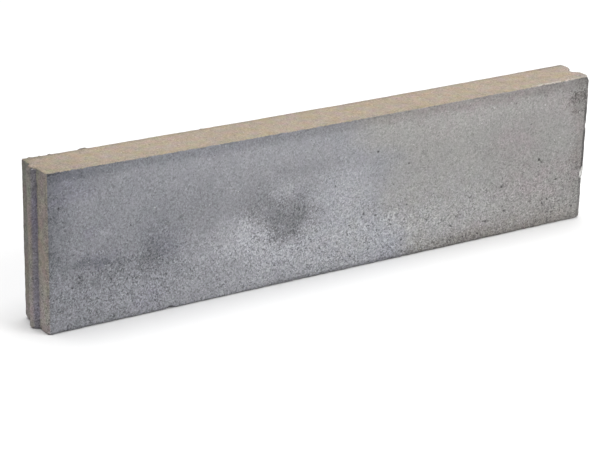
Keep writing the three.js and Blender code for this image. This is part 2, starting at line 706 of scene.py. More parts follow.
def thinned(obj, broken, limit):
    """Brings the casting down to its triangle count, with the arrises and chips kept fine."""
    mesh = obj.data
    points = read_points(mesh)
    at_edge = arris_distance(points) < FINE_EDGE
    fine = at_edge | (broken > FINE_BREAK) | (pit_depths(points) > 0)
    group = obj.vertex_groups.new(name="may be thinned")
    group.add(np.flatnonzero(~fine).tolist(), PLAIN_WEIGHT, "REPLACE")
    group.add(np.flatnonzero(fine).tolist(), FINE_WEIGHT, "REPLACE")
    thin = obj.modifiers.new("thin", "DECIMATE")
    thin.decimate_type = "COLLAPSE"
    thin.use_collapse_triangulate = True
    thin.vertex_group = group.name
    thin.vertex_group_factor = WEIGHT_FACTOR
    thin.ratio = min(1.0, limit / (2 * len(mesh.polygons)))
    return applied(obj)


def kept_inside(points):
    """The points held within the measured solid's box."""
    return np.clip(points, np.array(SOLID_LOW), np.array(SOLID_HIGH))


def make_casting(sizes):
    """The whole kerb as one worn casting."""
    obj = bpy.data.objects.new("kerb_casting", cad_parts[NODE].data.copy())
    obj.data.materials.clear()
    bpy.context.scene.collection.objects.link(obj)
    mesh = resampled(obj, sizes.grid * (1))
    cast_place = read_points(mesh)
    broken = break_and_chip(mesh, sizes)
    points = read_points(mesh)
    normals = read_triples(mesh.vertex_normals, "vector")
    depth, pits = relief_depths(points, normals, broken, sizes)
    points -= normals * depth[:, None]
    hollow_top(points, sizes)
    write_points(mesh, kept_inside(points))
    store(mesh, "cast_place", "FLOAT_VECTOR", cast_place)
    store(mesh, "broken", "FLOAT", broken)
    store(mesh, "pitted", "FLOAT", ease(pits, 0.0001, 0.0008))
    mesh = thinned(obj, broken, sizes.triangles)
    mesh.name = "kerb_casting"
    mesh.shade_smooth()
    return obj


# The concrete.

Stain = namedtuple("Stain", "name x z wide tall tone sand warmth", defaults=(0.0, 0.0))
Blush = namedtuple("Blush", "name x z wide tall red blue")

# Marks no taller than this keep a firmer edge.
SMALL_MARK = 0.010

# A mark fades over this passage, as shares of its width and height from its middle.
MARK_RIM = 1.25
MARK_CORE = 0.15

# Layers and roughness of the noise: crisp lumps, and rich ones with more fine detail.
CRISP = (2.0, 0.6)
RICH = (3.0, 0.6)

# The middle of the random triples.
MIDDLE = (0.5, 0.5, 0.5)

# Along the kerb, where the looks of the tongue end begin, and where they hold fully.
TONGUE_END = (-0.40, -0.45)

# What is added to red, green and blue, as shares of a colour.
WARMER = (0.07, -0.01, -0.09)
FACE_PINKER = (0.014, -0.006, 0.012)
TOP_PINKER = (0.065, -0.035, 0.055)
TOP_YELLOWER = (0.030, 0.006, -0.125)
LAND_WARMER = (0.075, -0.01, -0.06)
LAND_PINKER = (0.065, -0.055, 0.05)
MORE_VIOLET = (-0.01, -0.03, 0.09)

# What red, green and blue are multiplied by.
EVEN = (1.0, 1.0, 1.0)
STRIP_TINT = (0.94, 0.965, 0.95)
PALE_END_TINT = (0.98, 1.01, 1.11)
LOW_LAND_TINT = (0.99, 1.0, 1.09)

# The colour of the white grains, and how much dirt, growth, painted shade in the pits and these grains
# cover.
WHITE_GRAIN = (0.66, 0.66, 0.65)
GRIME_COVER = 0.75
MOSS_COVER = 0.5
PIT_SHADE_COVER = 0.72
WHITE_COVER = 0.55

# The fine relief of the bump, and how rough and glossy the concrete is.
BUMP_STRENGTH = 0.75
BUMP_DEPTH = 0.0005
CONCRETE_ROUGHNESS = 0.88
CONCRETE_GLOSS = 0.3

# Where the node that mixes two colours keeps them among its inputs and outputs.
MIX_FIRST, MIX_SECOND, MIX_RESULT = 6, 7, 2

# Soft marks on the front face. Tone is lighter or darker, sand is how much more the grains show,
# and warmth is warmer or cooler.
FRONT_STAINS = [
    Stain("left edge", -0.500, 0.165, 0.046, 0.120, -0.24, 0.0, -0.15),
    Stain("dark left arris", -0.497, 0.130, 0.013, 0.150, -0.12, 0.5, -0.05),
    Stain("dark grains, foot corner", -0.497, 0.030, 0.014, 0.020, -0.18, 0.6),
    Stain("dark grains beside the foot corner", -0.481, 0.040, 0.014, 0.012, -0.12, 0.6),
    Stain("dark grains, left edge", -0.490, 0.206, 0.012, 0.018, -0.08, 0.5),
    Stain("head of the left edge", -0.469, 0.238, 0.080, 0.036, -0.19, 0.0, -0.15),
    Stain("coarse foot corner, left", -0.457, 0.032, 0.060, 0.040, -0.03, 0.5),
    # Darker and cooler over the left third of the front.
    Stain("damp left third", -0.435, 0.112, 0.190, 0.200, -0.145, 0.35, -0.08),
    Stain("dull lilac spot", -0.432, 0.150, 0.018, 0.012, -0.09, 0.2),
    Stain("light grain, left", -0.409, 0.142, 0.007, 0.007, 0.20, 0.2),
    Stain("thin smudge", -0.445, 0.1020, 0.021, 0.0080, -0.29, 0.2, -0.20),
    Stain("thin smudge, middle", -0.415, 0.0990, 0.020, 0.0080, -0.27, 0.2, -0.20),
    Stain("thin smudge, right", -0.386, 0.0910, 0.022, 0.0090, -0.16, 0.2, -0.10),
    Stain("dark grains under the smudge", -0.448, 0.077, 0.011, 0.010, -0.16, 0.6),
    Stain("dark grains under the middle", -0.424, 0.068, 0.011, 0.009, -0.18, 0.6),
    Stain("dark grains under the right", -0.394, 0.073, 0.010, 0.009, -0.16, 0.6),
    Stain("dull zone round the smudge", -0.410, 0.088, 0.085, 0.032, -0.12, 0.4),
    Stain("coarse foot, left", -0.382, 0.037, 0.170, 0.055, 0.03, 0.5),
    Stain("tall dark lobe", -0.314, 0.120, 0.046, 0.074, -0.17, 0.4, -0.10),
    Stain("dark band in the lobe", -0.332, 0.102, 0.013, 0.050, -0.15, 0.5),
    Stain("tall dark lobe, foot", -0.301, 0.096, 0.034, 0.034, -0.11, 0.4, -0.05),
    Stain("dark spot at the lobe", -0.332, 0.078, 0.013, 0.014, -0.24, 0.5),
    Stain("dull zone, upper left", -0.240, 0.154, 0.070, 0.055, -0.13, 0.2),
    Stain("light grains, upper left", -0.216, 0.186, 0.006, 0.010, 0.16, 0.3),
    Stain("light grains, upper left, second", -0.188, 0.175, 0.012, 0.008, 0.16, 0.3),
    Stain("pale patch, low side", -0.216, 0.077, 0.055, 0.026, 0.12, 0.5),
    Stain("pale patch", -0.165, 0.099, 0.045, 0.032, 0.35, 0.5),
    Stain("pale patch, foot", -0.122, 0.063, 0.070, 0.030, 0.13, 0.5),
    Stain("pale spot over the patch", -0.139, 0.175, 0.014, 0.012, 0.10, 0.2),
    Stain("pale grains beside the tip", -0.134, 0.080, 0.026, 0.012, 0.12, 0.5),
    Stain("dark patch, upper left", -0.146, 0.144, 0.046, 0.036, -0.20, 0.4),
    Stain("dark spot, upper left", -0.118, 0.147, 0.018, 0.014, -0.10, 0.4),
    Stain("dark patch, tip", -0.099, 0.078, 0.024, 0.026, -0.16, 0.6),
    Stain("dark patch, left side", -0.124, 0.096, 0.018, 0.018, -0.14, 0.6),
    Stain("dark patch, low right", -0.068, 0.086, 0.018, 0.014, -0.12, 0.6),
    Stain("pale grains right of the tip", -0.083, 0.070, 0.012, 0.009, 0.10, 0.5),
    Stain("dark patch", -0.096, 0.110, 0.064, 0.048, -0.29, 1.0, -0.05),
    Stain("dark patch, right side", -0.062, 0.108, 0.028, 0.038, -0.14, 0.6),
    Stain("pale spot above the dark patch", -0.091, 0.157, 0.040, 0.020, 0.16, 0.3),
    Stain("band above the patch", -0.108, 0.183, 0.110, 0.022, -0.09),
    Stain("pale zone under the band", -0.090, 0.208, 0.140, 0.020, 0.05),
    Stain("dull length over the middle", -0.048, 0.181, 0.090, 0.024, -0.05),
    Stain("pale foot", -0.014, 0.011, 0.300, 0.022, 0.16, 0.4, -0.05),
    Stain("dull foot, middle", -0.005, 0.017, 0.060, 0.011, -0.08, 0.4),
    Stain("pale granular strip", 0.004, 0.049, 0.250, 0.044, 0.23, 0.55, -0.06),
    Stain("pale zone beside the patch", 0.008, 0.124, 0.070, 0.070, 0.23, 0.4, -0.08),
    Stain("pale length under the arris, middle", 0.090, 0.212, 0.130, 0.020, 0.07),
    Stain("pale crumbs", 0.100, 0.069, 0.014, 0.0085, 0.28, 0.4),
    Stain("pale zone, right of the middle", 0.132, 0.112, 0.120, 0.040, 0.04),
    Stain("dark grains at the foot", 0.154, 0.010, 0.028, 0.013, -0.14, 0.6, 0.1),
    Stain("dull foot, right of the middle", 0.160, 0.012, 0.200, 0.016, -0.05),
    Stain("dark foot, right of the middle", 0.186, 0.002, 0.130, 0.011, -0.12, 0.7, 0.15),
    Stain("pale lower right of the middle", 0.283, 0.058, 0.140, 0.045, 0.07, 0.1),
    Stain("pale strip under the arris", 0.304, 0.217, 0.190, 0.018, 0.10, 0.0, 0.05),
    Stain("brown foot", 0.350, 0.000, 0.240, 0.024, -0.20, 0.5, 0.45),
    Stain("dull right quarter", 0.374, 0.141, 0.110, 0.140, -0.08),
    Stain("coarse lower right", 0.406, 0.072, 0.130, 0.070, -0.02, 0.25),
    Stain("coarse dark grains, lower right", 0.430, 0.038, 0.050, 0.024, -0.10, 0.5),
    Stain("pale ring, lower right", 0.431, 0.043, 0.012, 0.009, 0.14, 0.5),
    Stain("dull head, right", 0.440, 0.243, 0.110, 0.020, -0.12, 0.2),
    Stain("smudge above the notch", 0.475, 0.191, 0.012, 0.008, -0.18, 0.6, 0.2),
    Stain("dull spot by the head corner", 0.454, 0.216, 0.014, 0.016, -0.11, 0.5, 0.2),
    Stain("smudge at the head corner", 0.477, 0.215, 0.020, 0.013, -0.52, 0.6, 0.25),
    Stain("dark spot over the break", 0.478, 0.101, 0.014, 0.014, -0.12, 0.5, 0.2),
    Stain("dark foot corner", 0.482, 0.086, 0.060, 0.040, -0.06, 0.2),
    # Painted shade along the groove end's edge, with some grime.
    Stain("rubbed right edge", 0.496, 0.130, 0.034, 0.150, -0.21, 0.2, 0.10),
    Stain("dark head corner", 0.499, 0.226, 0.026, 0.048, -0.16, 0.2, 0.12),
]

# Faint tints on the front face: how much redder and bluer it is there.
FRONT_BLUSHES = [
    Blush("lilac, head left", -0.474, 0.222, 0.055, 0.045, 0.018, 0.052),
    Blush("lilac smudge", -0.413, 0.100, 0.040, 0.016, 0.018, 0.050),
    Blush("lilac spot", -0.432, 0.150, 0.018, 0.014, 0.018, 0.045),
    Blush("lilac foot", -0.334, 0.028, 0.028, 0.020, 0.020, 0.050),
    Blush("lilac in the lobe", -0.302, 0.105, 0.030, 0.030, 0.012, 0.035),
    Blush("lilac band", -0.190, 0.236, 0.070, 0.014, 0.020, 0.012),
    Blush("greyer middle", -0.070, 0.110, 0.200, 0.200, 0.004, -0.012),
    Blush("greyer middle foot", 0.020, 0.040, 0.095, 0.060, 0.000, -0.017),
    Blush("greyer before the warm end", 0.050, 0.085, 0.050, 0.100, 0.002, -0.022),
    Blush("pink spot, right of the middle", 0.188, 0.205, 0.040, 0.020, 0.035, 0.010),
    Blush("greyer lower right", 0.170, 0.055, 0.200, 0.100, -0.006, 0.026),
    Blush("pink foot", 0.264, 0.024, 0.060, 0.018, 0.035, 0.018),
    Blush("pink band", 0.300, 0.243, 0.260, 0.018, 0.060, 0.026),
    Blush("pink, upper right", 0.352, 0.161, 0.060, 0.044, 0.054, 0.026),
    Blush("pink, lower right", 0.404, 0.086, 0.100, 0.042, 0.052, 0.024),
    Blush("brown foot, right", 0.420, 0.020, 0.130, 0.040, 0.022, 0.004),
    Blush("pink, head right", 0.450, 0.205, 0.060, 0.030, 0.040, 0.022),
    Blush("pink edge", 0.485, 0.135, 0.020, 0.070, 0.050, 0.010),
]


class Varying:
    """A number or a triple that varies over the surface: the output of a node."""

    def __init__(self, bench, socket):
        self.bench = bench
        self.socket = socket


class Number(Varying):
    """A varying number. Sums written with it become nodes."""

    def __add__(self, other):
        return self.bench.math("ADD", self, other)

    def __sub__(self, other):
        return self.bench.math("SUBTRACT", self, other)

    def __rsub__(self, other):
        return self.bench.math("SUBTRACT", other, self)

    def __mul__(self, other):
        if isinstance(other, (tuple, Triple)):
            return self.bench.scaled(other, self)
        return self.bench.math("MULTIPLY", self, other)

    def __abs__(self):
        return self.bench.math("ABSOLUTE", self)

    __radd__ = __add__
    __rmul__ = __mul__

    def fade(self, start, end):
        """0 up to start, 1 from end, and smooth between them."""
        inputs = {"Value": self, "From Min": start, "From Max": end}
        node = self.bench.add("ShaderNodeMapRange", inputs, interpolation_type="SMOOTHSTEP")
        return Number(self.bench, node.outputs["Result"])

    def window(self, opens, opened, closes, closed):
        """0 outside, 1 inside, and smooth at both ends."""
        return self.fade(opens, opened) * self.fade(closed, closes)


class Triple(Varying):
    """A varying place, step or colour. Sums written with it become nodes."""

    def __add__(self, other):
        return self.bench.vector("ADD", self, other)

    def __sub__(self, other):
        return self.bench.vector("SUBTRACT", self, other)

    def __mul__(self, other):
        if isinstance(other, (tuple, Triple)):
            return self.bench.vector("MULTIPLY", self, other)
        return self.bench.scaled(self, other)

    __radd__ = __add__
    __rmul__ = __mul__

    @cached_property
    def parts(self):
        """The three numbers in it."""
        node = self.bench.add("ShaderNodeSeparateXYZ", {0: self})
        return [Number(self.bench, output) for output in node.outputs]

    def noise_node(self, size, detail=2.0, rough=0.5):
        """Soft noise in lumps about one size across."""
        inputs = {"Vector": self, "Scale": 1 / size, "Detail": detail, "Roughness": rough}
        return self.bench.add("ShaderNodeTexNoise", inputs, noise_dimensions="3D")

    def noise(self, size, detail=2.0, rough=0.5):
        """Soft random values round 0.5."""
        return Number(self.bench, self.noise_node(size, detail, rough).outputs["Fac"])

    def signed_noise(self, size, detail=2.0, rough=0.5):
        """Soft random values from about -1 to 1."""
        return self.bench.math("MULTIPLY_ADD", self.noise(size, detail, rough), 4.0, -2.0)

    def cells(self, size):
        """Random cells: how many sizes away each one's middle is, and a random triple for each."""
        inputs = {"Vector": self, "Scale": 1 / size}
        node = self.bench.add("ShaderNodeTexVoronoi", inputs, voronoi_dimensions="3D", feature="F1")
        away, values = node.outputs["Distance"], node.outputs["Color"]
        return Number(self.bench, away), Triple(self.bench, values)

    def signed_cells(self, size):
        """A random value from -1 to 1 for each cell."""
        _, values = self.cells(size)
        return values.parts[0] * 2.0 - 1.0


class NodeBench:
    """Adds and links the nodes of one material, so that a recipe reads from top to bottom."""

    def __init__(self, tree):
        self.tree = tree
        self.tree.nodes.clear()

    def add(self, kind, inputs=None, **settings):
        """A new node with its settings. Each input is linked, or gets a plain value."""
        node = self.tree.nodes.new(kind)
        for name, value in settings.items():
            setattr(node, name, value)
        for key, source in (inputs or {}).items():
            if isinstance(source, Varying):
                self.tree.links.new(source.socket, node.inputs[key])
            else:
                node.inputs[key].default_value = source
        return node

    def math(self, operation, *sources):
        """A sum on numbers."""
        node = self.add("ShaderNodeMath", dict(enumerate(sources)), operation=operation)
        return Number(self, node.outputs[0])

    def vector(self, operation, *sources):
        """A sum on triples."""
        node = self.add("ShaderNodeVectorMath", dict(enumerate(sources)), operation=operation)
        return Triple(self, node.outputs["Vector"])

    def scaled(self, triple, factor):
        """A triple times a number."""
        inputs = {0: triple, "Scale": factor}
        node = self.add("ShaderNodeVectorMath", inputs, operation="SCALE")
        return Triple(self, node.outputs["Vector"])

    def length(self, triple):
        """How long a triple is."""
        node = self.add("ShaderNodeVectorMath", {0: triple}, operation="LENGTH")
        return Number(self, node.outputs["Value"])

    def stored(self, name):
        """The node that reads what the mesh keeps on its points."""
        return self.add("ShaderNodeAttribute", attribute_type="GEOMETRY", attribute_name=name)


def larger(first, second):
    """The larger of two varying numbers."""
    return first.bench.math("MAXIMUM", first, second)


def smaller(first, second):
    """The smaller of a varying number and another."""
    return first.bench.math("MINIMUM", first, second)


def opaque(colour):
    """A colour with full cover."""
    return (*colour, 1.0)


def mix(amount, first, second):
    """Goes from the first colour to the second as amount goes from 0 to 1."""
    first, second = (end if isinstance(end, Varying) else opaque(end) for end in (first, second))
    inputs = {0: amount, MIX_FIRST: first, MIX_SECOND: second}
    node = amount.bench.add("ShaderNodeMix", inputs, data_type="RGBA")
    return Triple(amount.bench, node.outputs[MIX_RESULT])


def tinted(colour, tint, amount):
    """The colour with a share of a tint laid over it."""
    return colour * mix(amount, EVEN, tint)


def front_marks(place):
    """The soft marks on the front face: tone, warmth and sand, and then the tints in one triple."""
    wander = Triple(place.bench, place.noise_node(0.035).outputs["Color"]) - MIDDLE
    _, crumble = place.cells(0.0019)
    moved = place + wander * (0.045, 0.0, 0.045) + (crumble - MIDDLE) * (0.024, 0.0, 0.024)
    firmer = moved * 0.3 + place * 0.7
    marks = [(stain, (stain.tone, stain.warmth, stain.sand)) for stain in FRONT_STAINS]
    large = summed_marks(moved, [mark for mark in marks if mark[0].tall > SMALL_MARK])
    small = summed_marks(firmer, [mark for mark in marks if mark[0].tall <= SMALL_MARK])
    tints = [(blush, (blush.red, 0.0, blush.blue)) for blush in FRONT_BLUSHES]
    return (large + small).parts, summed_marks(moved, tints)


def summed_marks(place, marks):
    """The effects of oval soft-edged marks, added up."""
    bench = place.bench
    total = (0.0, 0.0, 0.0)
    for mark, effect in marks:
        stretch = (1 / mark.wide, 0.0, 1 / mark.tall)
        centre = (-mark.x / mark.wide, 0.0, -mark.z / mark.tall)
        away = bench.length(bench.vector("MULTIPLY_ADD", place, stretch, centre))
        total += away.fade(MARK_RIM, MARK_CORE) * effect
    return total


def grain(place):
    """Light and dark grains, from about -1 to 1, narrower left of the middle and wider right of it."""
    x, _, _ = place.parts
    narrowed = place + (smaller(x, 0.0) * 0.20 + x * -0.08) * (1, 0, 0)
    return narrowed.signed_cells(0.0021) * 0.55 + narrowed.signed_noise(0.0026, *CRISP) * 0.8


def specks(place, shift, size, reach, share):
    """Round spots in a share of random cells."""
    away, values = (place + shift).cells(size)
    chosen = place.bench.math("GREATER_THAN", values.parts[0], 1 - share)
    return (away * size).fade(reach, reach * 0.5) * chosen


def face_colour(place, colours, marks, tints, on_front):
    """Grey of the broad faces: cool to warm along the length, with bands and marks, and painted shade
    along the foot and down the groove end's edge.
    """
    x, _, z = place.parts
    mark_tone, mark_warmth, _ = marks
    drift = place.signed_noise(0.12)
    ragged = place.signed_noise(0.02, *CRISP)
    mottle = place.signed_noise(0.030, *RICH)
    head_band = (z + ragged * 0.0045).fade(0.226, 0.240)

    tone = head_band * (x.fade(-0.05, 0.1) * 0.05 - 0.19)
    tone += mottle * 0.025 + drift * 0.02
    tone += (place * (1.0, 1.0, 0.10)).signed_noise(0.005, *CRISP) * 0.022
    tone -= arris_line(place) * 0.17
    # Painted shade: the faces darken just above the floor.
    foot_shade = (z + ragged * 0.002).fade(0.020, 0.005)
    tone -= foot_shade * (x.fade(-0.10, 0.0) * 0.045 + 0.045)
    tone += mark_tone * on_front
    base = mix(warm_share(place, drift, on_front), colours.cool, colours.warm)
    # Darker along the foot and down the groove end's edge: painted shade with some grime.
    base = base * (tone + 1.0) * (1.0 - edge_grime_and_shade(place) * 0.62)

    warmth = mark_warmth * on_front + mottle * 0.06
    warmth += head_band * (x.fade(-0.20, 0.05) * 0.27 - 0.15)
    return base * face_tint(place, warmth, tints, on_front)


def warm_share(place, drift, on_front):
    """How warm the grey is: it turns over a short length on the front and slowly on the back."""
    x, _, z = place.parts
    foot = z.fade(0.09, 0.03) * -0.045
    head = z.fade(0.165, 0.215) * 0.060
    front_share = (x + drift * 0.035 + foot + head).fade(0.055, 0.150)
    back_share = (x + drift * 0.10).fade(-0.50, 0.60)
    return back_share + (front_share - back_share) * on_front


def face_tint(place, warmth, tints, on_front):
    """The broad faces' tint: warmth, the front's blushes in clouds, and a faint mixed hue."""
    clouds = place.noise(0.016, *RICH).fade(0.36, 0.62) * 1.1 + 0.4
    mixed = (place + (0.3, 0.7, 0.2)).signed_noise(0.022, *CRISP)
    tint = warmth * WARMER + EVEN
    return tint + tints * (clouds * on_front) + mixed * FACE_PINKER


def arris_line(place):
    """Dirt caught in broken lengths just under the top's arris."""
    _, _, z = place.parts
    ragged = place.signed_noise(0.006, *CRISP)
    lengths = place.noise(0.036, *RICH).fade(0.44, 0.56)
    return (z + ragged * 0.0016).fade(0.2440, 0.2462) * lengths


def edge_grime_and_shade(place):
    """Dark broken lines along the foot and down the groove end of the broad faces: partly grime, partly
    painted shade where the faces meet the floor and turn to the end.
    """
    x, y, z = place.parts
    ragged = place.signed_noise(0.004, *CRISP)
    from_middle = abs(x - 0.015)
    height = z - from_middle.fade(0.19, 0.09) * 0.0030
    foot = (height + ragged * 0.0032).fade(0.0052, 0.0018)
    foot *= 0.50 - x.fade(0.36, 0.42) * 0.20
    set_back = z.fade(0.075, 0.070) * 0.0030
    reach = x + ragged * 0.0008 + set_back
    above_break = z.window(0.072, 0.080, 0.152, 0.160)
    above_notch = z.window(0.170, 0.174, 0.194, 0.204)
    head = z.window(0.203, 0.208, 0.226, 0.232)
    along = (above_break + above_notch) * 0.55 + 0.45 - head * 0.35
    off_groove = abs(y).fade(0.030, 0.036)
    side = reach.fade(0.4908, 0.4932) * along * off_groove
    return larger(foot, side)


def top_colour(place, colours):
    """Beige of the sandy top, a little greyer along the front and paler at the groove end."""
    x, y, _ = place.parts
    blotch = place.signed_noise(0.018, *RICH)
    dull_end = x.fade(-0.38, -0.50) * -0.10
    tone = blotch * 0.078 + 1.0 + place.signed_noise(0.08) * 0.035 + dull_end
    pinker = (place + (0.5, 0.2, 0.1)).signed_noise(0.016)
    yellower = (place + (0.9, 0.6, 0.3)).signed_noise(0.024)
    tint = pinker * TOP_PINKER + EVEN + yellower * TOP_YELLOWER
    base = tone * tuple(colours.sandy) * tint
    front_strip = (y + blotch * 0.004).fade(-0.022, -0.034)
    base = tinted(base, STRIP_TINT, front_strip)
    from_corner = x - (y + HALF_THICKNESS) * 0.35
    pale_end = (from_corner + blotch * 0.008).fade(0.452, 0.480)
    base = tinted(base, PALE_END_TINT, pale_end)
    base = mix(rubbed_arris(place, blotch), base, colours.broken)
    return mix(top_grime(place) * GRIME_COVER, base, colours.grime)


def rubbed_arris(place, blotch):
    """Where the top's front arris is rubbed pale, in crumbs, near the groove end."""
    x, y, _ = place.parts
    rubbed = (y + blotch * 0.0015).fade(-0.0335, -0.0365)
    crumbs = place.noise(0.0060, *CRISP).fade(0.42, 0.60)
    return rubbed * x.window(0.365, 0.400, 0.455, 0.485) * (crumbs * 0.32 + 0.04)


def top_grime(place):
    """Dirt on the tongue's head, round the large burr and in a broken line along the back arris."""
    x, y, _ = place.parts
    ragged = place.signed_noise(0.005, *RICH)
    slope = TONGUE_PROUD / (TONGUE_ROOT_HALF - TONGUE_TIP_HALF)
    reach = smaller((TONGUE_ROOT_HALF - abs(y)) * slope, TONGUE_PROUD)
    inside = x + LENGTH_END + reach
    head = (inside + ragged * 0.0010).fade(0.0038, 0.0018) * x.fade(-0.4990, -0.5005)

    from_middle = y + ragged * 0.0018
    line = from_middle.fade(0.0235, 0.0310) + from_middle.fade(0.0330, 0.0380)
    patches = place.noise(0.030, *RICH).fade(0.50, 0.62)
    left_end = x.fade(-0.41, -0.46)
    dashes = left_end * place.noise(0.011).fade(0.50, 0.58)
    groove_end = x.fade(0.43, 0.46)
    cover = larger(patches, left_end) * 0.13 + 0.20 + dashes * 0.35 + groove_end * 0.28

    at_burr = abs(x - LARGE_BURR.x).fade(0.013, 0.009)
    burr = at_burr * from_middle.fade(0.0315, 0.0350)
    return larger(larger(head, burr), line * cover)


def end_colour(place, colours):
    """Brownish lands, tongue tip and groove floor, with dark bluish flanks between them."""
    x, y, z = place.parts
    blotch = place.signed_noise(0.014, *RICH)
    mixed = (place + (0.2, 0.4, 0.1)).signed_noise(0.020)
    low = z.fade(0.085, 0.020)
    tone = blotch * 0.11 + 1.0 + z.fade(0.20, 0.08) * 0.06 + low * 0.24
    at_tongue = x.fade(*TONGUE_END)
    from_root = abs(abs(y) - TONGUE_ROOT_HALF)
    # Painted shade in the crease at the tongue's root, where the tongue meets the lands; the flanks take
    # it at the same width.
    root_crease_shade = (from_root + blotch * 0.0004).fade(0.0021, 0.0007) * -0.16

    land = tinted(tone * tuple(colours.land), LOW_LAND_TINT, low)
    land = land * land_tint(place, mixed, at_tongue)
    land = land * ((land_shade(y) + root_crease_shade) * at_tongue + 1.0)

    bluer = z.window(0.115, 0.150, 0.208, 0.222) * 0.70 + mixed * 0.35
    violet = bluer * MORE_VIOLET + EVEN
    joint = tone * tuple(colours.joint) * violet * (root_crease_shade + 1.0)

    across = abs(y) + blotch * 0.0006
    step = abs(abs(x) - LENGTH_END)
    on_flank = across.fade(0.0125, 0.0112) * step.fade(0.0094, 0.0044)
    on_flank *= at_tongue * 0.85 + 0.15
    head = (z + blotch * 0.004).fade(0.224, 0.242) * at_tongue
    return mix(on_flank, land, joint) * (1.0 - head * 0.10)


def land_tint(place, mixed, at_tongue):
    """The lands' slow change of hue, fainter at the groove end."""
    ruddy = place.signed_noise(0.045) * LAND_WARMER + mixed * LAND_PINKER
    return ruddy * (at_tongue * 0.6 + 0.4) + EVEN


def land_shade(y):
    """How much darker the tongue end's lands are, across the kerb."""
    behind_middle = y.fade(-0.010, 0.002) * -0.10
    back_land = y.fade(0.004, 0.016) * -0.20
    back_corner = y.fade(0.0330, 0.0352) * -0.42
    front_corner = y.fade(-0.0345, -0.0385) * -0.13
    return behind_middle + back_land + back_corner + front_corner


def moss_share(place):
    """Thin green growth at the back of the tongue end."""
    x, y, z = place.parts
    heights = z.window(0.014, 0.034, 0.060, 0.100) + z.fade(0.222, 0.242)
    patches = place.noise(0.010, *RICH).fade(0.38, 0.58)
    return x.fade(-0.478, -0.496) * y.fade(0.012, 0.026) * heights * patches


def end_share(place, ragged):
    """1 on the two ends, with the groove, and 0 on the broad faces."""
    x, y, _ = place.parts
    tongue_wrap = x.fade(*TONGUE_END) * 0.0018
    end_line = abs(x) + ragged * 0.0006 + tongue_wrap
    in_groove = x.fade(0.480, 0.486) * abs(y).fade(0.0185, 0.0165)
    return larger(end_line.fade(0.4982, 0.4994), in_groove)


def speckle(place, grains, sand):
    """How much lighter or darker the grains make each place."""
    clusters = (place + (0.8, 0.1, 0.4)).signed_noise(0.014, 3.0, 0.7)
    contrast = (sand * 0.24 + 0.26) * (clusters * 0.50 + 1.0)
    darker = clusters * sand * -0.05 + 1.0
    return grains * contrast + darker + place.signed_cells(0.0046) * (sand * 0.035)


def broken_share(place):
    """Where the concrete is freshly broken, in crumbs; at the brightest breaks the pale colour is also a
    painted highlight.
    """
    broken = Number(place.bench, place.bench.stored("broken").outputs["Fac"])
    return (broken * place.noise(0.0030)).fade(0.25, 0.52)


def pit_shade_share(place):
    """The small pits drawn on every face, and the modelled ones: where the pits get their painted shade
    and the dips of the bump.
    """
    dots = specks(place, (0.013, 0.004, 0.021), 0.011, 0.0012, 0.60)
    bigger = specks(place, (0.3, 0.1, 0.2), 0.034, 0.0019, 0.35)
    pitted = Number(place.bench, place.bench.stored("pitted").outputs["Fac"])
    return larger(larger(dots, bigger) * 0.75, pitted)


def concrete_material(colours):
    """Weathered concrete, laid out over the casting by place."""
    material = bpy.data.materials.new("weathered concrete")
    material.use_nodes = True
    bench = NodeBench(material.node_tree)
    place = Triple(bench, bench.stored("cast_place").outputs["Vector"])
    x, y, z = place.parts
    on_front = y.fade(0.0, -0.036)
    marks, tints = front_marks(place)
    ragged = place.signed_noise(0.006, *RICH)
    on_end = end_share(place, ragged)
    on_top = (z + ragged * 0.0011).fade(0.2479, 0.2491)

    colour = face_colour(place, colours, marks, tints, on_front)
    colour = mix(on_end, colour, end_colour(place, colours))
    colour = mix(on_top, colour, top_colour(place, colours))

    grains = grain(place)
    sand = smaller(marks[2] * on_front + z.fade(0.15, 0.05) * 0.7, 1.4)
    colour = colour * speckle(place, grains, larger(sand, on_end * 0.5))
    colour = mix(broken_share(place), colour, colours.broken)
    colour = mix(moss_share(place) * MOSS_COVER, colour, colours.moss)

    crumbs = specks(place, (0.11, 0.06, 0.17), 0.0054, 0.0012, 0.40)
    colour = colour * (1.0 - crumbs * (x.fade(-0.05, 0.10) * 0.28 + 0.06))
    # Painted shade in the small drawn pits and in the modelled ones.
    pits = pit_shade_share(place)
    colour = mix(pits * PIT_SHADE_COVER, colour, colours.pit)
    white = specks(place, (0.07, 0.03, 0.05), 0.012, 0.0012, 0.32)
    colour = mix(white * WHITE_COVER, colour, WHITE_GRAIN)

    finish(place, colour, grains, pits, on_top)
    return material


def finish(place, colour, grains, pits, on_top):
    """The dry, rough surface with its fine grain."""
    bench = place.bench
    fine = place.signed_noise(0.0012, *CRISP)
    lumps = place.signed_noise(0.0045, *RICH)
    height = grains * 0.45 + fine * 0.25 + lumps * (on_top * 0.6 + 0.4) - pits * 2.2
    inputs = {"Strength": BUMP_STRENGTH, "Distance": BUMP_DEPTH, "Height": height}
    bump = bench.add("ShaderNodeBump", inputs)
    inputs = {
        "Base Color": colour,
        "Roughness": grains * 0.05 + CONCRETE_ROUGHNESS,
        "Normal": Triple(bench, bump.outputs["Normal"]),
        "Specular IOR Level": CONCRETE_GLOSS,
    }
    surface = bench.add("ShaderNodeBsdfPrincipled", inputs)
    bench.add("ShaderNodeOutputMaterial", {"Surface": Varying(bench, surface.outputs["BSDF"])})


# The stage.

FLOOR_REACH = 60.0
FLOOR_ROUGHNESS = 0.9
FLOOR_GLOSS = 0.1
SENSOR_MILLIMETRES = 36
KERB_MIDDLE = (0, 0, 0.1)
OVERHEAD_PLACE = (0.1, 0.3, 3.2)
OVERHEAD_SPREAD = math.radians(48)
KEY_PLACE = (2.1, -3.2, 2.4)
KEY_SIZE = (2.4, 2.0)

# How bright the surround looks to the camera.
SURROUND_SEEN = 0.88


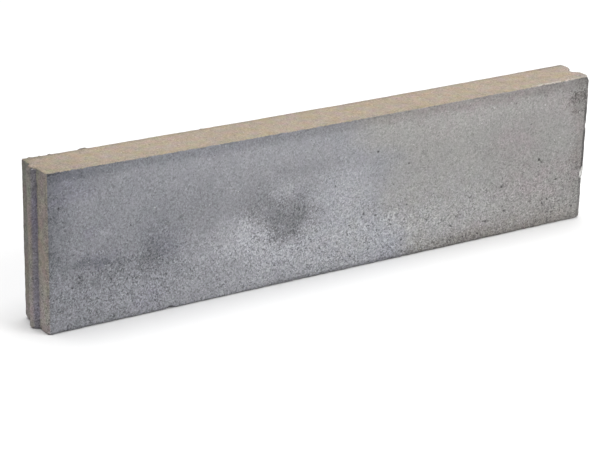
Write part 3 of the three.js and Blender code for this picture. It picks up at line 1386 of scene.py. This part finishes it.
def make_floor(settings):
    """A wide plain floor under the kerb."""
    mesh = bpy.data.meshes.new("studio_floor")
    far = FLOOR_REACH
    corners = [(-far, -far, 0), (far, -far, 0), (far, far, 0), (-far, far, 0)]
    mesh.from_pydata(corners, [], [(0, 1, 2, 3)])
    floor = bpy.data.objects.new("studio_floor", mesh)
    material = bpy.data.materials.new("studio floor")
    material.use_nodes = True
    surface = material.node_tree.nodes["Principled BSDF"]
    surface.inputs["Base Color"].default_value = opaque(settings.floor)
    surface.inputs["Roughness"].default_value = FLOOR_ROUGHNESS
    surface.inputs["Specular IOR Level"].default_value = FLOOR_GLOSS
    mesh.materials.append(material)
    bpy.context.scene.collection.objects.link(floor)


def make_light(name, place, size, power):
    """A large soft light that looks at the kerb."""
    data = bpy.data.lights.new(name, "AREA")
    data.shape = "RECTANGLE"
    data.size, data.size_y = size
    data.energy = power
    aim_light(bpy.data.objects.new(name, data), place)


def make_overhead(name, place, spread, strength):
    """A soft light from above that is even over the whole floor."""
    data = bpy.data.lights.new(name, "SUN")
    data.angle = spread
    data.energy = strength
    aim_light(bpy.data.objects.new(name, data), place)


def aim_light(light, place):
    """Puts a light in its place and turns it to the kerb."""
    light.location = place
    light.rotation_mode = "QUATERNION"
    light.rotation_quaternion = (Vector(KERB_MIDDLE) - Vector(place)).to_track_quat("-Z", "Y")
    bpy.context.scene.collection.objects.link(light)


def make_surround(settings):
    """An even pale surround that lights softly and looks white."""
    world = bpy.data.worlds.new("studio surround")
    world.use_nodes = True
    bench = NodeBench(world.node_tree)
    seen = Number(bench, bench.add("ShaderNodeLightPath").outputs["Is Camera Ray"])
    strength = seen * (SURROUND_SEEN - settings.sky) + settings.sky
    background = bench.add("ShaderNodeBackground", {"Color": opaque(EVEN), "Strength": strength})
    bench.add("ShaderNodeOutputWorld", {"Surface": Varying(bench, background.outputs[0])})
    bpy.context.scene.world = world


def make_camera(settings):
    """The camera, a little above the kerb and turned towards its groove end."""
    turn, tilt, roll = settings.turn, settings.tilt, settings.roll
    forward = Vector((math.sin(turn) * math.cos(tilt), math.cos(turn) * math.cos(tilt), -math.sin(tilt)))
    level = Vector((math.cos(turn), -math.sin(turn), 0))
    down = forward.cross(level)
    right = level * math.cos(roll) + down * math.sin(roll)
    down = down * math.cos(roll) - level * math.sin(roll)
    data = bpy.data.cameras.new("camera")
    data.sensor_width = SENSOR_MILLIMETRES
    data.lens = settings.lens / MILLIMETRE
    camera = bpy.data.objects.new("camera", data)
    axes = Matrix((right, -down, -forward)).transposed().to_4x4()
    camera.matrix_world = Matrix.Translation(settings.stand) @ axes
    bpy.context.scene.collection.objects.link(camera)
    bpy.context.scene.camera = camera


# Operators, panel and registration.


class KERB_OT_casting(bpy.types.Operator):
    """Make the worn concrete casting over the measured solid"""

    bl_idname = "kerb.casting"
    bl_label = "Kerb casting"

    def execute(self, context):
        casting = make_casting(context.scene.kerb_sizes)
        casting.data.materials.append(concrete_material(context.scene.kerb_colours))
        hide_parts(NODE)
        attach(casting, "root")
        return {"FINISHED"}


class KERB_OT_stage(bpy.types.Operator):
    """Set the floor, the lights, the surround and the camera"""

    bl_idname = "kerb.stage"
    bl_label = "Studio stage"

    def execute(self, context):
        settings = context.scene.kerb_studio
        make_floor(settings)
        make_surround(settings)
        make_overhead("overhead", OVERHEAD_PLACE, OVERHEAD_SPREAD, settings.overhead)
        make_light("key", KEY_PLACE, KEY_SIZE, settings.key)
        make_camera(settings)
        context.scene.view_settings.view_transform = "Standard"
        context.scene.view_settings.look = "None"
        return {"FINISHED"}


class KERB_PT_panel(bpy.types.Panel):
    """Lists the kerb's settings and steps"""

    bl_idname = "KERB_PT_panel"
    bl_label = "Concrete kerb"
    bl_space_type = "VIEW_3D"
    bl_region_type = "UI"
    bl_category = "Kerb"

    def draw(self, context):
        steps = [
            (KERB_OT_casting, ("kerb_sizes", "kerb_colours")),
            (KERB_OT_stage, ("kerb_studio",)),
        ]
        for operator, groups in steps:
            box = self.layout.box()
            box.operator(operator.bl_idname)
            for group in groups:
                settings = getattr(context.scene, group)
                for name in type(settings).__annotations__:
                    box.prop(settings, name)


CLASSES = (CastingSizes, ConcreteColours, StudioSettings, KERB_OT_casting, KERB_OT_stage, KERB_PT_panel)


def register():
    """Adds the classes and the settings."""
    for each in CLASSES:
        bpy.utils.register_class(each)
    bpy.types.Scene.kerb_sizes = PointerProperty(type=CastingSizes)
    bpy.types.Scene.kerb_colours = PointerProperty(type=ConcreteColours)
    bpy.types.Scene.kerb_studio = PointerProperty(type=StudioSettings)


def unregister():
    """Takes the classes and the settings away again."""
    del bpy.types.Scene.kerb_studio
    del bpy.types.Scene.kerb_colours
    del bpy.types.Scene.kerb_sizes
    for each in reversed(CLASSES):
        bpy.utils.unregister_class(each)


def main():
    """Registers everything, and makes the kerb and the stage."""
    register()
    bpy.ops.kerb.stage()
    bpy.ops.kerb.casting()


if __name__ == "__main__":
    main()
